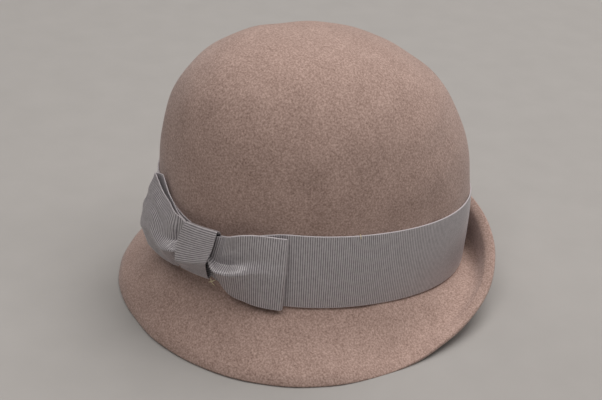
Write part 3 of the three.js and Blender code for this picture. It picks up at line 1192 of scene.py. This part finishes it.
@dataclass(frozen=True)
class TackThread:
    """The sewing thread that tacks the bow and the band: two loose ends under the knot, and one stitch."""

    band: RibbonBand = field(default_factory=RibbonBand)
    diameter: float = 0.6
    bluntness: float = 0.05
    steps: int = 14
    sides: int = 8

    def strand(self, start: ThreadPlace, middle: ThreadPlace, end: ThreadPlace) -> tuple[Array, Array]:
        """Makes one bent strand.

        Args:
            start: Where it comes out.
            middle: Where it is pulled to.
            end: Where it stops.

        Returns:
            Points and quads of a tube.
        """
        places = np.array([start, middle, end], float)
        first, second, third = self.band.place(*places.T)
        share = np.linspace(0.0, 1.0, self.steps + 1)[:, None]
        line = (1.0 - share) ** 2 * first + 2.0 * share * (1.0 - share) * second + share**2 * third
        ahead = unit(np.gradient(line, axis=0))
        aside = unit(np.cross(ahead, third - first + np.array([0.0, 0.0, 1.0])))
        over = np.cross(aside, ahead)
        angles = np.linspace(0.0, 2.0 * math.pi, self.sides, endpoint=False)[None, :, None]
        ring = np.cos(angles) * aside[:, None] + np.sin(angles) * over[:, None]
        taper = np.sqrt(np.clip(share * (1.0 - share) * self.steps, self.bluntness, 1.0))
        grid = line[:, None] + ring * (self.diameter / 2.0 * taper)[:, None]
        points = grid.reshape(-1, 3)
        return points, loft_faces(self.steps + 1, self.sides, False)

    def build(self, finish: CottonThread) -> Object:
        """Makes the strands as one piece.

        Args:
            finish: The thread.

        Returns:
            The piece.
        """
        points, faces, count = [], [], 0
        for places in TACK_STRANDS:
            tube, quads = self.strand(*places)
            caps = [[*range(self.sides)][::-1], [*range(len(tube) - self.sides, len(tube))]]
            points.append(tube)
            faces += [[corner + count for corner in face] for face in [*quads.tolist(), *caps]]
            count += len(tube)
        thread = add_piece("tack_thread", np.concatenate(points), faces, {}, finish.material())
        return thread


# Studio


def direction(turn_deg: float, height_deg: float) -> Vector:
    """The direction from the hat at a turn and a height above the floor, both in degrees."""
    turn, height = math.radians(turn_deg), math.radians(height_deg)
    return Vector((math.sin(turn), -math.cos(turn), math.tan(height))) * math.cos(height)


class Lamp(NamedTuple):
    """A soft round lamp: turn and height round the hat in degrees, size in metres and power in watts."""

    name: str
    turn_deg: float
    height_deg: float
    size: float
    power: float


@dataclass(frozen=True)
class Studio:
    """A plain pale floor, soft light and a camera at the photograph's angle, all in metres and degrees."""

    floor_size: float = 24.0
    sky: str = "#f6f4f2"
    sky_strength: float = 0.07
    lamps: tuple[Lamp, ...] = (
        Lamp("key_light", -158.0, 62.0, 2.4, 71.0),
        Lamp("front_light", 37.0, 62.0, 2.4, 58.0),
        Lamp("side_light", 138.0, 58.0, 2.4, 47.0),
        Lamp("fill_light", -80.0, 35.0, 2.4, 15.0),
    )
    lamp_distance: float = 3.9
    lamp_colour: str = "#fffaf6"
    camera_turn: float = 61.14
    camera_height: float = 28.75
    camera_roll: float = 2.83
    camera_distance: float = 0.8037
    camera_lens: float = 71.31
    camera_target: tuple[float, float, float] = (-0.0216, 0.00552, 0.0451)

    def lay_floor(self, finish: PaintedFloor) -> Object:
        """Makes the floor.

        Args:
            finish: The floor's paint.

        Returns:
            The floor, which is stage and not part of the hat.
        """
        half = self.floor_size / 2.0
        mesh = bpy.data.meshes.new("studio_floor")
        corners = [(-half, -half, 0.0), (half, -half, 0.0), (half, half, 0.0), (-half, half, 0.0)]
        mesh.from_pydata(corners, [], [(0, 1, 2, 3)])
        mesh.materials.append(finish.material())
        floor = bpy.data.objects.new("studio_floor", mesh)
        bpy.context.scene.collection.objects.link(floor)
        return floor

    def hang_lights(self) -> None:
        """Makes the soft light from every side and the lamps."""
        world = bpy.data.worlds.new("soft_sky")
        world.use_nodes = True
        background = world.node_tree.nodes["Background"]
        background.inputs["Color"].default_value = linear(self.sky)
        background.inputs["Strength"].default_value = self.sky_strength
        bpy.context.scene.world = world
        for row in self.lamps:
            disk = bpy.data.lights.new(row.name, "AREA")
            disk.shape = "DISK"
            disk.size = row.size
            disk.energy = row.power
            disk.color = linear(self.lamp_colour)[:3]
            away = direction(row.turn_deg, row.height_deg)
            lamp = bpy.data.objects.new(row.name, disk)
            lamp.location = Vector(self.camera_target) + away * self.lamp_distance
            lamp.rotation_mode = "QUATERNION"
            lamp.rotation_quaternion = away.to_track_quat("Z", "Y")
            bpy.context.scene.collection.objects.link(lamp)

    def set_camera(self) -> None:
        """Makes the camera and aims it."""
        roll = math.radians(self.camera_roll)
        back = direction(self.camera_turn, self.camera_height)
        right = direction(self.camera_turn + 90.0, 0.0)
        turned = right * math.cos(roll) + back.cross(right) * math.sin(roll)
        lens = bpy.data.cameras.new("camera")
        lens.lens = self.camera_lens
        camera = bpy.data.objects.new("camera", lens)
        rotation = Matrix((turned, back.cross(turned), back)).transposed().to_4x4()
        place = Vector(self.camera_target) + back * self.camera_distance
        camera.matrix_world = Matrix.Translation(place) @ rotation
        bpy.context.scene.collection.objects.link(camera)
        bpy.context.scene.camera = camera


def main() -> None:
    """Builds the hat and its studio."""
    logging.basicConfig(level=logging.INFO, format="%(message)s")
    bpy.context.scene.view_settings.view_transform = "Standard"
    studio = Studio()
    studio.set_camera()
    studio.lay_floor(PaintedFloor())
    studio.hang_lights()
    FeltHood().build(WoolFelt())
    ribbon = Grosgrain().material()
    RibbonBand().build(ribbon)
    front = BowLoop("bow_loop_front_woven", "bow_loop_front", Side.FRONT, FRONT_LOOP, inner_short=0.09)
    front.build(ribbon)
    back = BowLoop("bow_loop_back_woven", "bow_loop_back", Side.BACK, BACK_LOOP, end_slant=0.05)
    back.build(ribbon)
    BowKnot().build(ribbon)
    TackThread().build(CottonThread())


if __name__ == "__main__":
    main()
